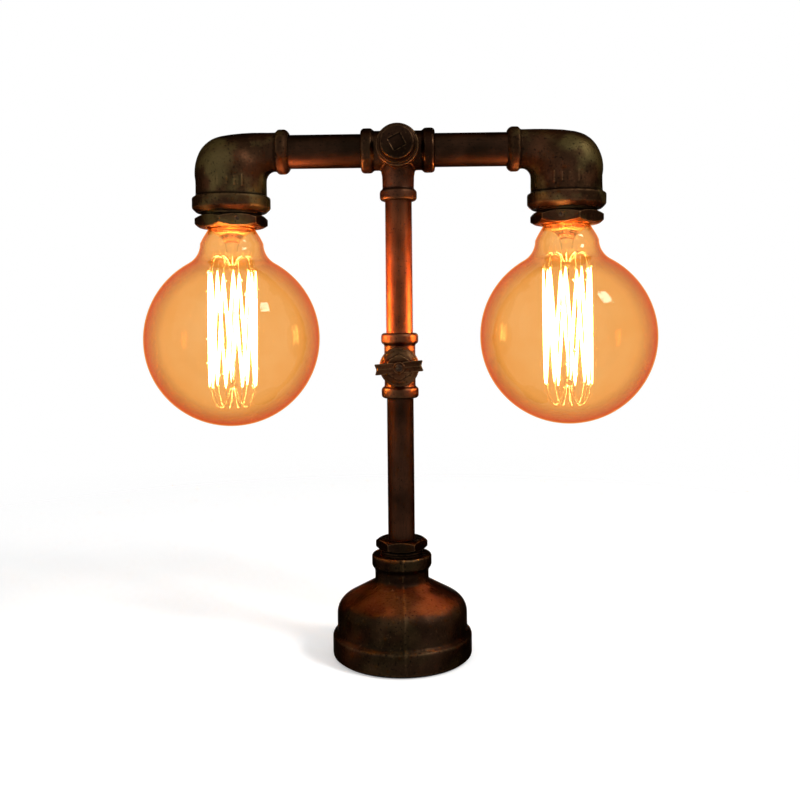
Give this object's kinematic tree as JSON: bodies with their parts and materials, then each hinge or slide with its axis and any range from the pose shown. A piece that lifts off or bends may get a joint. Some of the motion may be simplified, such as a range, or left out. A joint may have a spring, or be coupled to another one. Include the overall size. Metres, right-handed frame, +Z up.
{
  "type": "table lamp",
  "caption": "Industrial pipe table lamp: bell reducer base, pipe column with a rotary valve switch, and a cross arm whose elbows hold amber globe bulbs pointing down.",
  "frame": {"origin": "on the table under the middle of the base", "axes": "+X to the lamp's right along the arms, -Y out of the front where the switch handle and the face plug are, +Z up along the column"},
  "size_m": [0.4064, 0.1388, 0.4191],
  "materials": {
    "arm_pipe_left": "antique dark bronze finish over steel pipe, satin",
    "arm_pipe_right": "antique dark bronze finish over steel pipe, satin",
    "ballast_disc": "plain zinc-plated steel",
    "ballast_screws": "plain zinc-plated steel",
    "base_bushing": "antique dark brown iron, satin, rubbed to copper on its edges",
    "base_reducer": "antique brown iron with a reddish copper rub, satin",
    "bulb_cap_left": "rolled brass screw cap",
    "bulb_cap_right": "rolled brass screw cap",
    "bulb_glass_left": "clear amber glass",
    "bulb_glass_right": "clear amber glass",
    "bulb_stem_left": "clear glass",
    "bulb_stem_right": "clear glass",
    "cap_eyelet_left": "soft solder",
    "cap_eyelet_right": "soft solder",
    "cap_insulator_left": "black glass insulator",
    "cap_insulator_right": "black glass insulator",
    "centre_contact_left": "bright brass",
    "centre_contact_right": "bright brass",
    "cord_grommet": "black rubber",
    "earth_screw": "bright brass",
    "elbow_left": "antique dark brown iron, satin, rubbed to copper on its edges",
    "elbow_right": "antique dark brown iron, satin, rubbed to copper on its edges",
    "face_plug": "antique dark brown iron, satin, rubbed to copper on its edges",
    "filament_hooks_left": "nickel support wire",
    "filament_hooks_right": "nickel support wire",
    "filament_left": "glowing carbon filament",
    "filament_right": "glowing carbon filament",
    "flex_left": "cotton-braided flex",
    "flex_lower": "cotton-braided flex",
    "flex_right": "cotton-braided flex",
    "flex_upper": "cotton-braided flex",
    "foot_pad": "black rubber",
    "handle_screw": "plain zinc-plated steel",
    "holder_terminals_left": "bright brass",
    "holder_terminals_right": "bright brass",
    "lampholder_left": "glazed white porcelain",
    "lampholder_right": "glazed white porcelain",
    "riser_lower": "antique dark bronze finish over steel pipe, satin",
    "riser_upper": "antique dark bronze finish over steel pipe, satin",
    "screw_shell_left": "bright brass",
    "screw_shell_right": "bright brass",
    "side_outlet_tee": "antique dark brown iron, satin, rubbed to copper on its edges",
    "socket_nut_left": "antique dark brown iron, satin, rubbed to copper on its edges",
    "socket_nut_right": "antique dark brown iron, satin, rubbed to copper on its edges",
    "socket_set_screw_left": "plain zinc-plated steel",
    "socket_set_screw_right": "plain zinc-plated steel",
    "switch_cover": "black moulded plastic",
    "switch_housing": "black moulded plastic",
    "switch_spindle": "bright brass",
    "switch_terminals": "bright brass",
    "terminal_block": "black moulded plastic",
    "terminal_screws": "bright brass",
    "valve_body": "antique dark brown iron, satin, rubbed to copper on its edges",
    "valve_bonnet": "antique dark brown iron, satin, rubbed to copper on its edges",
    "valve_handle": "antique dark brown iron, satin, rubbed to copper on its edges",
    "wire_connectors": "black moulded plastic"
  },
  "bodies": {
    "lamp_frame": {"arm_pipe_left": "arm_pipe_left", "arm_pipe_right": "arm_pipe_right", "ballast_disc": "ballast_disc", "ballast_screws": "ballast_screws", "base_bushing": "base_bushing", "base_reducer": "base_reducer", "centre_contact_left": "centre_contact_left", "centre_contact_right": "centre_contact_right", "cord_grommet": "cord_grommet", "earth_screw": "earth_screw", "elbow_left": "elbow_left", "elbow_right": "elbow_right", "face_plug": "face_plug", "flex_left": "flex_left", "flex_lower": "flex_lower", "flex_right": "flex_right", "flex_upper": "flex_upper", "foot_pad": "foot_pad", "holder_terminals_left": "holder_terminals_left", "holder_terminals_right": "holder_terminals_right", "lampholder_left": "lampholder_left", "lampholder_right": "lampholder_right", "riser_lower": "riser_lower", "riser_upper": "riser_upper", "screw_shell_left": "screw_shell_left", "screw_shell_right": "screw_shell_right", "side_outlet_tee": "side_outlet_tee", "socket_nut_left": "socket_nut_left", "socket_nut_right": "socket_nut_right", "socket_set_screw_left": "socket_set_screw_left", "socket_set_screw_right": "socket_set_screw_right", "switch_cover": "switch_cover", "switch_housing": "switch_housing", "switch_terminals": "switch_terminals", "terminal_block": "terminal_block", "terminal_screws": "terminal_screws", "valve_body": "valve_body", "valve_bonnet": "valve_bonnet", "wire_connectors": "wire_connectors"},
    "switch_knob": {"switch_spindle": "switch_spindle", "valve_handle": "valve_handle", "handle_screw": "handle_screw"},
    "cap_tip_left": {"cap_eyelet_left": "cap_eyelet_left", "cap_insulator_left": "cap_insulator_left"},
    "bulb_left": {"bulb_cap_left": "bulb_cap_left", "bulb_glass_left": "bulb_glass_left", "bulb_stem_left": "bulb_stem_left", "filament_hooks_left": "filament_hooks_left", "filament_left": "filament_left"},
    "cap_tip_right": {"cap_eyelet_right": "cap_eyelet_right", "cap_insulator_right": "cap_insulator_right"},
    "bulb_right": {"bulb_cap_right": "bulb_cap_right", "bulb_glass_right": "bulb_glass_right", "bulb_stem_right": "bulb_stem_right", "filament_hooks_right": "filament_hooks_right", "filament_right": "filament_right"}
  },
  "joints": [
    {"name": "switch_turn", "type": "hinge", "parent": "lamp_frame", "child": "switch_knob", "pos_m": [0, -0.03, 0.2298], "axis": [0, 1, 0], "range_deg": [0, 90]},
    {"name": "bulb_left_drop", "type": "slide", "parent": "lamp_frame", "child": "cap_tip_left", "axis": [0, 0, -1], "range_m": [0, 0.0218]},
    {"name": "bulb_left_turn", "type": "hinge", "parent": "cap_tip_left", "child": "bulb_left", "pos_m": [-0.1338, 0, 0.3439], "axis": [0, 0, -1], "range_deg": [0, 2160]},
    {"name": "bulb_right_drop", "type": "slide", "parent": "lamp_frame", "child": "cap_tip_right", "axis": [0, 0, -1], "range_m": [0, 0.0218]},
    {"name": "bulb_right_turn", "type": "hinge", "parent": "cap_tip_right", "child": "bulb_right", "pos_m": [0.1338, 0, 0.3439], "axis": [0, 0, -1], "range_deg": [0, 2160]}
  ],
  "couplings": [
    {"joint": "bulb_left_drop", "follows": "bulb_left_turn", "m_per_rad": 0.00057757},
    {"joint": "bulb_right_drop", "follows": "bulb_right_turn", "m_per_rad": 0.00057757}
  ]
}
